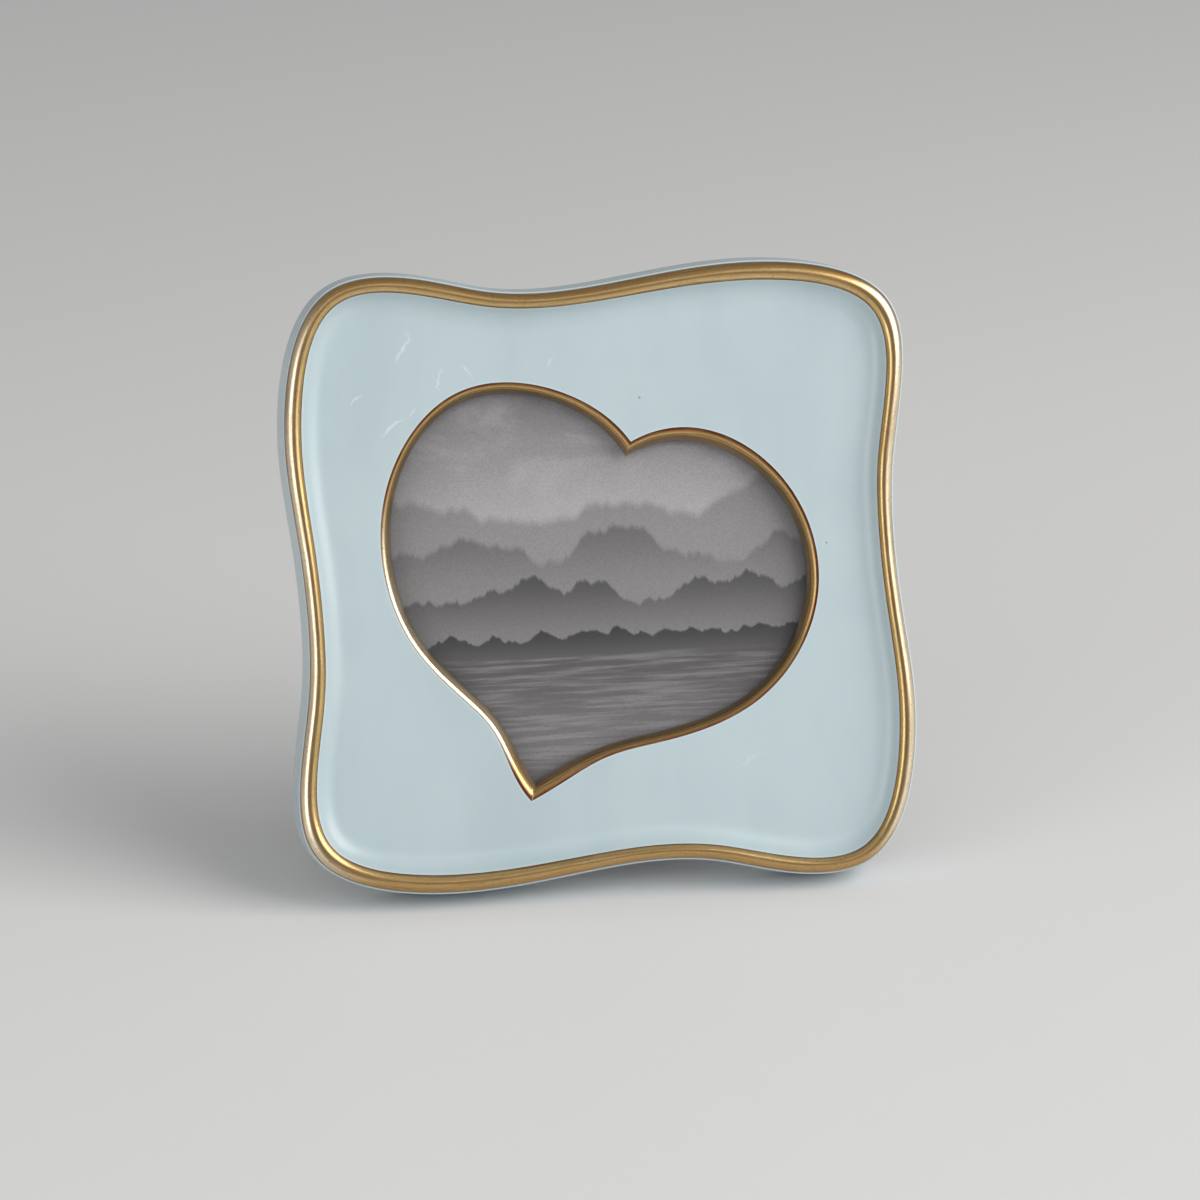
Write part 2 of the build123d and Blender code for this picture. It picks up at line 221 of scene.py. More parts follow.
def lacquerFinish():
    look = lacquerLook
    finish = Finish("lacquer")
    x, y, z = finish.facePlace()
    plane = finish.joined([x, y, z])
    brush = finish.noise(finish.stretched((x, y, z), look["brushScale"]), 1.0, 4.0, 0.55, 0.4)
    cloud = finish.noise(plane, look["cloudScale"], 3.0, 0.5, 0.3)
    front = z.above(*look["front"])
    fray = (finish.noise(plane, look["frayScale"], 5.0, 0.7) - 0.5) * look["fray"]
    colour = finish.mixed(brush.above(0.30, 0.72), look["deepBlue"], look["blue"])
    colour = finish.mixed(cloud.above(0.40, 0.75) * 0.5, colour, look["paleBlue"])
    # a few short pale wisps where the brush lifted
    wisps = []
    for right, up, lean, long, wide, strong in look["wisps"]:
        turn = math.radians(lean)
        dx, dy = x - right * mm, y - up * mm
        along = (dx * math.cos(turn) + dy * math.sin(turn)) / (long * mm)
        bow = along * along * look["bow"]
        aside = (dy * math.cos(turn) - dx * math.sin(turn) + fray + bow) / (wide * mm)
        wisps.append((1 - (along * along + aside * aside).above(0.1, 1.0)) * strong)
    colour = finish.mixed(sum(wisps) * front, colour, look["wispWhite"])
    # two pinholes in the glaze
    pits = []
    for right, up, radius in look["pits"]:
        dx, dy = x - right * mm, y - up * mm
        away = (dx * dx + dy * dy) ** 0.5 / (radius * mm)
        pits.append((1 - away.above(0.5, 1.0)) * front)
    pit = sum(pits)
    colour = finish.mixed(pit * 0.75, colour, look["pit"])
    # a pale line beside the gilding: a painted highlight on the glaze fillet there
    edgeHighlightBand = 1 - finish.attribute("edgeGap").above(*look["edgeHighlightBand"])
    colour = finish.mixed(edgeHighlightBand * 0.6, colour, look["edgeHighlightColour"])
    waves = finish.bump(cloud + brush * 0.6, look["waveDepth"], 0.5)
    return finish.surface(
        Base_Color=colour,
        Roughness=brush.above(0.2, 0.8) * 0.08 + look["roughness"],
        Coat_Weight=look["coat"],
        Coat_Roughness=look["coatRoughness"],
        Normal=finish.bump(pit, -look["pitDepth"], 0.7, waves),
    )


# Brushed gilding: bands across the run from its outer edge in, drawn along it by the brush. Some
# of the bands are painted highlights and painted reflections.
gilding = {
    # how fast the marks change along the run and across it
    "streakScale": (75.0, 10.0),
    "fineScale": (150.0, 32.0),
    "speckleScale": 1500.0,
    "sway": 0.16,
    # paler brush streaks, which also paint a streaky highlight
    "paleStreakAndGlint": (0.86, 0.69, 0.42),
    "darkLeaf": (0.31, 0.185, 0.075),
    "speck": (0.22, 0.135, 0.055),
    "markDepth": 0.04 * mm,
    "roughness": 0.23,
}
rimLook = {
    # left and right runs: red-brown edges, a pale cream band on the outer flank that is a painted
    # highlight, a dark middle band that is a painted reflection of a dark room, and mustard gold
    # inside
    "sideStops": (
        (0.00, (0.26, 0.09, 0.03)), (0.04, (0.40, 0.19, 0.075)), (0.10, (0.86, 0.71, 0.50)),
        (0.34, (0.90, 0.78, 0.58)), (0.46, (0.40, 0.28, 0.15)), (0.66, (0.29, 0.20, 0.10)),
        (0.78, (0.60, 0.42, 0.17)), (0.91, (0.56, 0.36, 0.13)), (0.985, (0.24, 0.08, 0.025)),
    ),
    # top and bottom runs: red-brown edges, a dark middle band that is a painted reflection of a
    # dark room, and a bright line near the inner edge that is a painted highlight
    "topStops": (
        (0.00, (0.26, 0.09, 0.03)), (0.05, (0.40, 0.22, 0.075)), (0.22, (0.50, 0.30, 0.11)),
        (0.45, (0.56, 0.365, 0.15)), (0.62, (0.40, 0.245, 0.095)), (0.73, (0.56, 0.37, 0.15)),
        (0.85, (0.78, 0.58, 0.29)), (0.93, (0.46, 0.25, 0.08)), (0.985, (0.22, 0.075, 0.022)),
    ),
    # the colours of the sides give way to those of top and bottom round each corner
    "turnOver": 12.0 * mm,
}
lipLook = {
    # lower left run: the wide pale cream band over the outer half is a painted highlight
    "sideStops": (
        (0.00, (0.66, 0.44, 0.27)), (0.05, (0.90, 0.78, 0.60)), (0.36, (0.94, 0.84, 0.67)),
        (0.46, (0.78, 0.63, 0.40)), (0.53, (0.42, 0.30, 0.16)), (0.62, (0.78, 0.64, 0.42)),
        (0.84, (0.60, 0.47, 0.28)), (1.0, (0.44, 0.37, 0.30)),
    ),
    # elsewhere: a dark red-brown outer band, and a bright gold line near the middle that is a
    # painted highlight
    "topStops": (
        (0.00, (0.16, 0.04, 0.014)), (0.17, (0.20, 0.055, 0.02)), (0.27, (0.40, 0.21, 0.075)),
        (0.38, (0.66, 0.47, 0.20)), (0.46, (0.40, 0.24, 0.085)), (0.56, (0.58, 0.41, 0.18)),
        (0.64, (0.33, 0.21, 0.09)), (0.84, (0.36, 0.255, 0.14)), (1.0, (0.36, 0.30, 0.24)),
    ),
    # the painted highlight on the lower left run starts and ends over these shares of the way
    # round from the tip
    "highlightFrom": (0.02, 0.06),
    "highlightTo": (0.17, 0.27),
}


def rimSide(finish, x, y):
    # 1 on the rim's left and right runs, where the side colours paint a pale highlight band, 0
    # along the top and bottom
    reach = rimLook["turnOver"]
    return (x.math("ABSOLUTE") - y.math("ABSOLUTE")).above(-reach, reach)


def lipHighlightRun(finish, *_):
    # 1 on the lip's lower left run, where the pale colours paint a highlight, and 0 again at the
    # tip
    turn = finish.attribute("lipTurn")
    return (1 - turn.above(*lipLook["highlightTo"])) * turn.above(*lipLook["highlightFrom"])


def gildingFinish(name, look, sideOf):
    finish = Finish(name)
    x, y, z = finish.facePlace()
    share = finish.attribute("acrossShare")

    def marks(scales, detail, roughness):
        run, width = scales
        place = finish.stretched((x, y, share), (run, run, width))
        return finish.noise(place, 1.0, detail, roughness)

    streak = marks(gilding["streakScale"], 5.0, 0.62)
    fine = marks(gilding["fineScale"], 3.0, 0.6)
    speckle = finish.noise(finish.joined([x, y, z]), gilding["speckleScale"], 2.0, 0.7)
    # the bands sway most in the middle of the run and stay put at its edges
    drawn = share + (streak - 0.5) * gilding["sway"] * share * (1 - share) * 4.0
    # both ramps hold painted highlights and painted reflections among the leaf's own colours
    side = finish.add("ShaderNodeValToRGB", {"stops": look["sideStops"]}, {"Fac": drawn})
    top = finish.add("ShaderNodeValToRGB", {"stops": look["topStops"]}, {"Fac": drawn})
    colour = finish.mixed(sideOf(finish, x, y), top, side)
    # paler brush streaks in the leaf, also a painted streaky highlight
    colour = finish.mixed(fine.above(0.50, 0.68) * 0.34, colour, gilding["paleStreakAndGlint"])
    colour = finish.mixed(streak.above(0.50, 0.68) * 0.50, colour, gilding["darkLeaf"])
    colour = finish.mixed(speckle.above(0.55, 0.72) * 0.38, colour, gilding["speck"])
    return finish.surface(
        Base_Color=colour,
        Metallic=1.0,
        Roughness=streak * 0.16 + gilding["roughness"],
        Normal=finish.bump(streak + fine * 0.5, gilding["markDepth"], 0.25),
    )


glassLook = {
    "clear": (0.975, 0.975, 0.975),
    "gloss": (0.9, 0.92, 0.92),
    "roughness": 0.08,
    "edgeBlend": 0.18,
    # share of gloss seen straight on, and how much it grows at a glance
    "glossShare": 0.015,
    "glossGrowth": 0.55,
}


def glassFinish():
    look = glassLook
    finish = Finish("clear_glass")
    edge = finish.add("ShaderNodeLayerWeight", None, {"Blend": look["edgeBlend"]})
    clear = finish.add("ShaderNodeBsdfTransparent", None, {"Color": (*look["clear"], 1)})
    sockets = {"Base Color": (*look["gloss"], 1), "Roughness": look["roughness"]}
    gloss = finish.add("ShaderNodeBsdfPrincipled", None, sockets)
    share = edge * look["glossGrowth"] + look["glossShare"]
    return finish.show(finish.add("ShaderNodeMixShader", None, [share, clear, gloss]))


# A generic picture in greys: misty hills behind a still lake
pictureLook = {
    "skyTop": (0.255, 0.242, 0.252),
    "skyLow": (0.56, 0.535, 0.554),
    "skySpan": (2.0 * mm, 50.0 * mm),
    "cloud": (0.58, 0.555, 0.573),
    "cloudScale": (30.0, 75.0, 1.0),
    "hills": (
        # height up the print, rise, bumps per metre, seed, grey, how soft
        (20.0 * mm, 11.0 * mm, 34.0, 3.1, 0.270, 3.0 * mm),
        (10.5 * mm, 9.5 * mm, 52.0, 7.7, 0.155, 2.0 * mm),
        (0.0 * mm, 7.5 * mm, 78.0, 12.3, 0.070, 1.2 * mm),
        (-10.5 * mm, 4.5 * mm, 130.0, 21.9, 0.026, 0.7 * mm),
    ),
    "hillTint": (1.0, 0.965, 0.985),
    # trees against bumps: how much finer, and how high as a share of the rise
    "treeScale": 16.0,
    "treeRise": 0.16,
    "mist": (0.38, 0.362, 0.375),
    "mistDepth": 19.0 * mm,
    "shore": -15.0 * mm,
    "shoreSoft": 1.1 * mm,
    "waterFar": (0.125, 0.118, 0.123),
    "waterNear": (0.26, 0.248, 0.257),
    "waterSpan": (1.0 * mm, 22.0 * mm),
    "rippleScale": (46.0, 820.0, 1.0),
    "rippleLight": (0.37, 0.353, 0.366),
    "rippleDark": (0.06, 0.058, 0.06),
    # the picture darkens from this far off its middle to this far
    "shadeSpan": (32.0 * mm, 66.0 * mm),
    "shade": (0.03, 0.029, 0.03),
    "grainScale": 2300.0,
    "grain": (0.01, 0.0097, 0.0099),
    "roughness": 0.42,
}


def pictureFinish():
    look = pictureLook
    finish = Finish("photo_paper")
    x, y, z = finish.facePlace()
    grey = finish.mixed(y.above(*look["skySpan"]), look["skyLow"], look["skyTop"])
    cloud = finish.noise(finish.stretched((x, y, z), look["cloudScale"]), 1.0, 5.0, 0.6, 0.6)
    grey = finish.mixed(cloud.above(0.42, 0.72) * 0.55, grey, look["cloud"])
    for height, rise, bumps, seed, tone, soft in look["hills"]:
        ridge = finish.noise(finish.joined([x * bumps, seed, 0.0]), 1.0, 5.0, 0.5)
        treePlace = finish.joined([x * (bumps * look["treeScale"]), seed, 0.0])
        trees = finish.noise(treePlace, 1.0, 2.0, 0.5)
        crown = (ridge - 0.5) * (rise * 3.0) + (trees - 0.5) * (rise * look["treeRise"]) + height
        mist = (height + rise * 0.6 - y).above(0.0, look["mistDepth"]) * 0.66
        hill = finish.mixed(mist, tuple(tone * tint for tint in look["hillTint"]), look["mist"])
        grey = finish.mixed((crown - y).above(0.0, soft), grey, hill)
    under = look["shore"] - y
    ripple = finish.noise(finish.stretched((x, y, z), look["rippleScale"]), 1.0, 4.0, 0.55)
    water = finish.mixed(under.above(*look["waterSpan"]), look["waterFar"], look["waterNear"])
    water = finish.mixed(ripple.above(0.42, 0.66) * 0.45, water, look["rippleLight"])
    water = finish.mixed((1 - ripple.above(0.40, 0.60)) * 0.25, water, look["rippleDark"])
    grey = finish.mixed(under.above(0.0, look["shoreSoft"]), grey, water)
    # darker towards the picture's edges, with film grain over all
    far = (x * x + y * y) ** 0.5
    grey = finish.mixed(far.above(*look["shadeSpan"]) * 0.36, grey, look["shade"])
    grain = finish.noise(finish.joined([x, y, z]), look["grainScale"], 1.0, 0.5)
    grey = finish.mixed(grain.above(0.25, 0.75) * 0.16, grey, look["grain"])
    return finish.surface(Base_Color=grey, Roughness=look["roughness"])


velvetLook = {
    "deep": (0.006, 0.006, 0.008),
    "nap": (0.020, 0.020, 0.024),
    "brushed": (0.032, 0.032, 0.037),
    "napScale": 2400.0,
    "brushScale": 45.0,
    "napDepth": 0.25 * mm,
    "roughness": 0.95,
    "sheen": 0.6,
    "sheenRoughness": 0.35,
}


def velvetFinish():
    look = velvetLook
    finish = Finish("black_velvet")
    place = finish.place()
    nap = finish.noise(place, look["napScale"], 2.0, 0.6)
    brushed = finish.noise(place, look["brushScale"], 3.0, 0.5, 0.6)
    colour = finish.mixed(nap.above(0.3, 0.7), look["deep"], look["nap"])
    colour = finish.mixed(brushed.above(0.45, 0.70) * 0.6, colour, look["brushed"])
    return finish.surface(
        Base_Color=colour,
        Roughness=look["roughness"],
        Sheen_Weight=look["sheen"],
        Sheen_Roughness=look["sheenRoughness"],
        Normal=finish.bump(nap, look["napDepth"], 0.6),
    )


paperLook = {
    # dark and light fibres, and how fine they are
    "grey_board": ((0.20, 0.19, 0.18), (0.34, 0.33, 0.31), 700.0),
    "fibreboard": ((0.13, 0.075, 0.04), (0.24, 0.15, 0.09), 900.0),
    "lining_paper": ((0.010, 0.010, 0.011), (0.026, 0.026, 0.028), 1500.0),
}
fibreDepth = 0.06 * mm
paperRoughness = 0.8


def paperFinish(name):
    dark, light, scale = paperLook[name]
    finish = Finish(name)
    fibre = finish.noise(finish.place(), scale, 4.0, 0.65, 0.8)
    return finish.surface(
        Base_Color=finish.mixed(fibre.above(0.35, 0.7), dark, light),
        Roughness=paperRoughness,
        Normal=finish.bump(fibre, fibreDepth, 0.5),
    )


brassLook = {
    "deep": (0.56, 0.37, 0.13),
    "pale": (0.74, 0.53, 0.23),
    "tarnish": (0.32, 0.20, 0.08),
    "grainScale": (2400.0, 160.0, 160.0),
    "grainDepth": 0.02 * mm,
    "tarnishScale": 260.0,
    "roughness": 0.2,
}
steelLook = {
    "deep": (0.36, 0.35, 0.34),
    "pale": (0.55, 0.54, 0.52),
    "grainScale": 900.0,
    "roughness": 0.22,
}


def brassFinish():
    look = brassLook
    finish = Finish("plated_brass")
    x, y, z = finish.facePlace()
    grain = finish.noise(finish.stretched((x, y, z), look["grainScale"]), 1.0, 3.0, 0.6)
    tarnish = finish.noise(finish.joined([x, y, z]), look["tarnishScale"], 4.0, 0.6, 0.5)
    colour = finish.mixed(grain.above(0.3, 0.7), look["deep"], look["pale"])
    colour = finish.mixed(tarnish.above(0.55, 0.78) * 0.45, colour, look["tarnish"])
    return finish.surface(
        Base_Color=colour,
        Metallic=1.0,
        Roughness=tarnish * 0.22 + look["roughness"],
        Normal=finish.bump(grain, look["grainDepth"], 0.4),
    )


def steelFinish():
    look = steelLook
    finish = Finish("plain_steel")
    grain = finish.noise(finish.place(), look["grainScale"], 3.0, 0.6)
    colour = finish.mixed(grain.above(0.3, 0.7), look["deep"], look["pale"])
    roughness = grain * 0.2 + look["roughness"]
    return finish.surface(Base_Color=colour, Metallic=1.0, Roughness=roughness)


lacquer = lacquerFinish()
rimGilding = gildingFinish("rim_gilding", rimLook, rimSide)
lipGilding = gildingFinish("lip_gilding", lipLook, lipHighlightRun)
glass = glassFinish()
picture = pictureFinish()
velvet = velvetFinish()
greyBoard = paperFinish("grey_board")
fibreboard = paperFinish("fibreboard")
blackPaper = paperFinish("lining_paper")
brass = brassFinish()
steel = steelFinish()
print("materials made")


# Points nearer than weld are one, heights within sameHeight are level, and so is a face whose
# normal and the frame's have a product over levelProduct
weld = 0.002 * mm
sameHeight = 0.005 * mm
levelProduct = 0.99999


def mergedCopy(node):
    # a CAD node's triangles, joined up
    work = bmesh.new()
    work.from_mesh(frame["nodes"][node].data)
    bmesh.ops.remove_doubles(work, verts=work.verts, dist=weld)
    return work


def keep(work, name, node, body, finishes, smoothAngle, levelFlat=False):
    # hands a finished bmesh over as the piece that stands for a CAD node
    bmesh.ops.recalc_face_normals(work, faces=work.faces)
    for face in work.faces:
        face.smooth = True
    mesh = bpy.data.meshes.new(name)
    work.to_mesh(mesh)
    work.free()
    mesh.set_sharp_from_angle(angle=math.radians(smoothAngle))
    if levelFlat:
        # wide triangles that lie in the frame's plane take no shading from the rounds beside them
        for face in mesh.polygons:
            if len(face.vertices) == 3 and abs(face.normal.dot(faceNormal)) > levelProduct:
                face.use_smooth = False
    piece = bpy.data.objects.new(name, mesh)
    bpy.context.scene.collection.objects.link(piece)
    for finish in finishes:
        mesh.materials.append(finish)
    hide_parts(node)
    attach(piece, body)
    return piece


# The casting's rings, read from its CAD solid as closed lines at known heights above the back
rim = {
    "backRound": 0.6 * mm,
    "wallTop": 13.2 * mm,
    "shoulder": 13.7 * mm,
    "crest": 16.0 * mm,
    "beadInner": 14.8 * mm,
    "dish": 11.8 * mm,
    "lipFoot": 8.8 * mm,
    "glassFront": 8.2 * mm,
    # how far the wall's foot and the back stand out past the wall's top
    "wallLean": 1.0 * mm,
    "backLean": 0.4 * mm,
    "coveReach": 5.2 * mm,
    "margin": 0.7 * mm,
    "stations": 480,
    "lineSteps": 10,
    "roundSteps": 4,
    "beadSteps": 16,
    "beadCrowding": 1.6,
    "coveSteps": 12,
    "wallShares": (0.06, 0.5, 0.96),
    # across the bead from its outer foot, and up it
    "beadShares": (
        (0.0, 0.0), (0.05, 0.37), (0.15, 0.66), (0.30, 0.86), (0.44, 0.97), (0.55, 1.0),
        (0.72, 0.94), (0.88, 0.74), (1.0, 0.478),
    ),
    "smoothAngle": 35.0,
}
lip = {
    "stations": 360,
    "steps": 14,
    # in from the dish, and down to the lip's foot
    "shares": (
        (0.0, 0.0), (0.12, 0.006), (0.32, 0.065), (0.50, 0.205), (0.68, 0.43), (0.85, 0.71),
        (1.0, 1.0),
    ),
}
pocket = {
    # reaches that take in the pocket's walls and the screws' pilot holes, and nothing beside them
    "half": 51.35 * mm,
    "slack": 0.01 * mm,
    "pilotReach": 1.2 * mm,
    "pilotDepth": 6.6 * mm,
}
# ways off the gilding in mm, as the lacquer reads them: over the shoulder, and anywhere far off
shoulderGap = 0.6
farGap = 9.0
lacquerSlot, rimSlot, lipSlot = 0, 1, 2


def isLevel(item, height):
    return all(abs(corner.co.z - height) < sameHeight for corner in item.verts)


def loopsAt(work, height):
    # edges at this height with a sloping face beside them, as closed lines of flat points,
    # longest first
    near = {}
    for edge in work.edges:
        if isLevel(edge, height) and not all(isLevel(face, height) for face in edge.link_faces):
            first, second = edge.verts
            near.setdefault(first, []).append(second)
            near.setdefault(second, []).append(first)
    loops = []
    while near:
        start = next(iter(near))
        line = [start]
        before, here = start, near[start][0]
        while here is not start:
            line.append(here)
            before, here = here, next(v for v in near[here] if v is not before)
        for corner in line:
            near.pop(corner, None)
        loops.append([corner.co.xy.copy() for corner in line])
    loops.sort(key=lambda points: sum((a - b).length for a, b in zip(points, points[1:])))
    return loops[::-1]


def smoothLine(points, corners=()):
    # a curve through the points, rounded everywhere but at the corners, as a dense closed line
    curve = bpy.data.curves.new("ring", "CURVE")
    curve.dimensions = "3D"
    curve.resolution_u = rim["lineSteps"]
    spline = curve.splines.new("BEZIER")
    spline.bezier_points.add(len(points) - 1)
    for k, (knot, point) in enumerate(zip(spline.bezier_points, points)):
        knot.co = (*point, 0)
        kind = "VECTOR" if k in corners else "AUTO"
        knot.handle_left_type = kind
        knot.handle_right_type = kind
    spline.use_cyclic_u = True
    holder = bpy.data.objects.new("ring", curve)
    bpy.context.scene.collection.objects.link(holder)
    bpy.context.view_layer.update()
    mesh = bpy.data.meshes.new_from_object(holder)
    dense = [vertex.co.xy.copy() for vertex in mesh.vertices]
    bpy.data.objects.remove(holder)
    bpy.data.curves.remove(curve)
    bpy.data.meshes.remove(mesh)
    return dense


def evenly(points, count):
    # count places along an open line, from its first point and short of its last
    lengths = [0.0]
    for a, b in zip(points, points[1:]):
        lengths.append(lengths[-1] + (b - a).length)
    places = []
    k = 0
    for step in range(count):
        target = lengths[-1] * step / count
        while lengths[k + 1] < target:
            k += 1
        span = lengths[k + 1] - lengths[k]
        places.append(points[k].lerp(points[k + 1], (target - lengths[k]) / span))
    return places


def nearestOn(line, places):
    # the nearest places on a dense closed line, between its points too
    tree = KDTree(len(line))
    for k, point in enumerate(line):
        tree.insert((*point, 0), k)
    tree.balance()
    found = []
    for place in places:
        k = tree.find((*place, 0))[1]
        near = []
        for a, b in ((line[k - 1], line[k]), (line[k], line[(k + 1) % len(line)])):
            run = b - a
            share = (place - a).dot(run) / run.length_squared
            near.append(a + run * min(max(share, 0.0), 1.0))
        found.append(min(near, key=lambda spot: (spot - place).length))
    return found


def moved(places, distance):
    # a closed line's places, moved out square to it
    area = sum(a.cross(b) for a, b in zip(places, places[1:]))
    out = math.copysign(1.0, area) * distance
    shifted = []
    for k, place in enumerate(places):
        chord = places[(k + 1) % len(places)] - places[k - 1]
        shifted.append(place + Vector((chord.y, -chord.x)).normalized() * out)
    return shifted


def sectionAt(shares, place):
    # height share of a section at an across share, curved through its points
    for k in range(len(shares) - 1):
        low, high = shares[k], shares[k + 1]
        if place <= high[0]:
            before = shares[max(k - 1, 0)]
            after = shares[min(k + 2, len(shares) - 1)]
            width = high[0] - low[0]
            t = (place - low[0]) / width
            slopeLow = (high[1] - before[1]) / (high[0] - before[0])
            slopeHigh = (after[1] - low[1]) / (after[0] - low[0])
            return (
                (2 * t**3 - 3 * t**2 + 1) * low[1]
                + (t**3 - 2 * t**2 + t) * width * slopeLow
                + (3 * t**2 - 2 * t**3) * high[1]
                + (t**3 - t**2) * width * slopeHigh
            )
    return shares[-1][1]


def beadPlaces():
    # closer together on the steep outer flank
    steps = rim["beadSteps"]
    return [(step / steps) ** rim["beadCrowding"] for step in range(1, steps + 1)]


def label(work, corners, share, gap):
    # what the finishes read: place across the gilding, way off it, and share of the way round
    numbers, values = work.verts.layers.int, work.verts.layers.float
    for corner in corners:
        corner[values["acrossShare"]] = share
        corner[values["edgeGap"]] = gap
        corner[values["lipTurn"]] = corner[numbers["station"]] / lip["stations"]


def startRing(work, places, height, share, gap):
    number = work.verts.layers.int["station"]
    made = bmesh.ops.create_circle(work, segments=len(places), radius=1.0)["verts"]
    for k, corner in enumerate(made):
        corner[number] = k
        corner.co = (*places[k], height)
    label(work, made, share, gap)
    return list(dict.fromkeys(edge for corner in made for edge in corner.link_edges))


def addRing(work, edges, places, height, share, gap, slot=lacquerSlot):
    # draws the edge line out and lays its new points on the given places
    drawn = bmesh.ops.extrude_edge_only(work, edges=edges)["geom"]
    newEdges = [item for item in drawn if isinstance(item, bmesh.types.BMEdge)]
    fresh = [item for item in drawn if isinstance(item, bmesh.types.BMVert)]
    number = work.verts.layers.int["station"]
    for corner in fresh:
        corner.co = (*places[corner[number]], height)
    for edge in newEdges:
        edge.link_faces[0].material_index = slot
    label(work, fresh, share, gap)
    return newEdges


def ringPlaces(source):
    # where each ring crosses each station
    def lineAt(name, which=0):
        return smoothLine(loopsAt(source, rim[name])[which])

    outer = lineAt("shoulder")
    on = {"shoulder": evenly([*outer, outer[0]], rim["stations"])}
    on["wallTop"] = nearestOn(lineAt("wallTop"), on["shoulder"])
    on["beadInner"] = nearestOn(lineAt("beadInner", -1), on["shoulder"])
    on["dish"] = nearestOn(lineAt("dish"), on["beadInner"])
    on["backRound"] = moved(on["wallTop"], rim["wallLean"])
    on["back"] = moved(on["wallTop"], rim["backLean"])
    return on


def drawBody(shell, on):
    # bead, cove, shoulder, wall and the back's rim, all drawn from the gilding's outer foot
    def between(first, second, share):
        return [a.lerp(b, share) for a, b in zip(on[first], on[second])]

    foot = startRing(shell, on["shoulder"], rim["shoulder"], 0.0, 0.0)
    # over the bead
    edges = foot
    rise = rim["crest"] - rim["shoulder"]
    for share in beadPlaces():
        height = rim["shoulder"] + rise * sectionAt(rim["beadShares"], share)
        places = between("shoulder", "beadInner", share)
        edges = addRing(shell, edges, places, height, share, 0.0, rimSlot)
    # down the cove to the dish
    reach = rim["coveReach"]
    depth = rim["beadInner"] - rim["dish"]
    radius = (reach**2 + depth**2) / (2 * depth)
    turn = math.asin(reach / radius)
    for step in range(1, rim["coveSteps"] + 1):
        angle = turn * (1 - step / rim["coveSteps"])
        share = 1 - radius * math.sin(angle) / reach
        height = rim["dish"] + radius * (1 - math.cos(angle))
        places = between("beadInner", "dish", share)
        edges = addRing(shell, edges, places, height, 1.0, share * reach / mm)
    inset = moved(on["dish"], -rim["margin"])
    dishEdges = addRing(shell, edges, inset, rim["dish"], 1.0, farGap)
    # out over the shoulder
    edges = foot
    drop = rim["shoulder"] - rim["wallTop"]
    steps = rim["roundSteps"]
    for step in range(1, steps + 1):
        angle = math.pi / 2 * step / steps
        places = between("shoulder", "wallTop", math.sin(angle))
        height = rim["wallTop"] + drop * math.cos(angle)
        edges = addRing(shell, edges, places, height, 0.0, shoulderGap * step / steps)
    # down the wall and round to the back
    for share in rim["wallShares"]:
        height = rim["wallTop"] + (rim["backRound"] - rim["wallTop"]) * share
        places = between("wallTop", "backRound", share)
        edges = addRing(shell, edges, places, height, 0.0, farGap)
    for step in range(steps + 1):
        angle = math.pi / 2 * step / steps
        places = between("backRound", "back", 1 - math.cos(angle))
        height = rim["backRound"] * (1 - math.sin(angle))
        edges = addRing(shell, edges, places, height, 0.0, farGap)
    addRing(shell, edges, moved(on["back"], -rim["margin"]), 0.0, 0.0, farGap)
    return dishEdges


def pairedHeart(outerPoints, innerPoints):
    # both lines run from the tip round to the tip again, through the notch, in step
    def cornersOf(points):
        turns = []
        for k, point in enumerate(points):
            ahead = points[(k + 1) % len(points)] - point
            behind = point - points[k - 1]
            turns.append((abs(behind.angle_signed(ahead)), k))
        return sorted(k for _, k in sorted(turns)[-2:])

    lines = []
    for points in (outerPoints, innerPoints):
        # start at the tip, the lower of the two corners, and run so that the left lobe comes first
        tip = min(cornersOf(points), key=lambda k: points[k].y)
        turned = points[tip:] + points[:tip]
        if turned[len(turned) // 6].x > turned[-len(turned) // 6].x:
            turned = [turned[0]] + turned[:0:-1]
        corners = cornersOf(turned)
        dense = smoothLine(turned, corners)
        notch = turned[max(corners)]
        middle = min(range(len(dense)), key=lambda k: (dense[k] - notch).length)
        count = lip["stations"] // 2
        first = evenly(dense[: middle + 1], count)
        second = evenly([*dense[middle:], dense[0]], count)
        lines.append(first + second)
    return lines


def drawLip(shell, source):
    # the heart's lip, from the dish down to the glass
    heartLine = loopsAt(source, rim["dish"])[1]
    outerPlaces, innerPlaces = pairedHeart(heartLine, loopsAt(source, rim["lipFoot"])[0])
    gap = rim["margin"] / mm
    heartEdges = startRing(shell, moved(outerPlaces, rim["margin"]), rim["dish"], 0.0, gap)
    edges = addRing(shell, heartEdges, outerPlaces, rim["dish"], 0.0, 0.0)
    fall = rim["dish"] - rim["lipFoot"]
    for step in range(1, lip["steps"] + 1):
        share = step / lip["steps"]
        places = [a.lerp(b, share) for a, b in zip(outerPlaces, innerPlaces)]
        height = rim["dish"] - fall * sectionAt(lip["shares"], share)
        edges = addRing(shell, edges, places, height, share, 0.0, lipSlot)
    addRing(shell, edges, innerPlaces, rim["glassFront"], 1.0, 0.0, lipSlot)
    return heartEdges


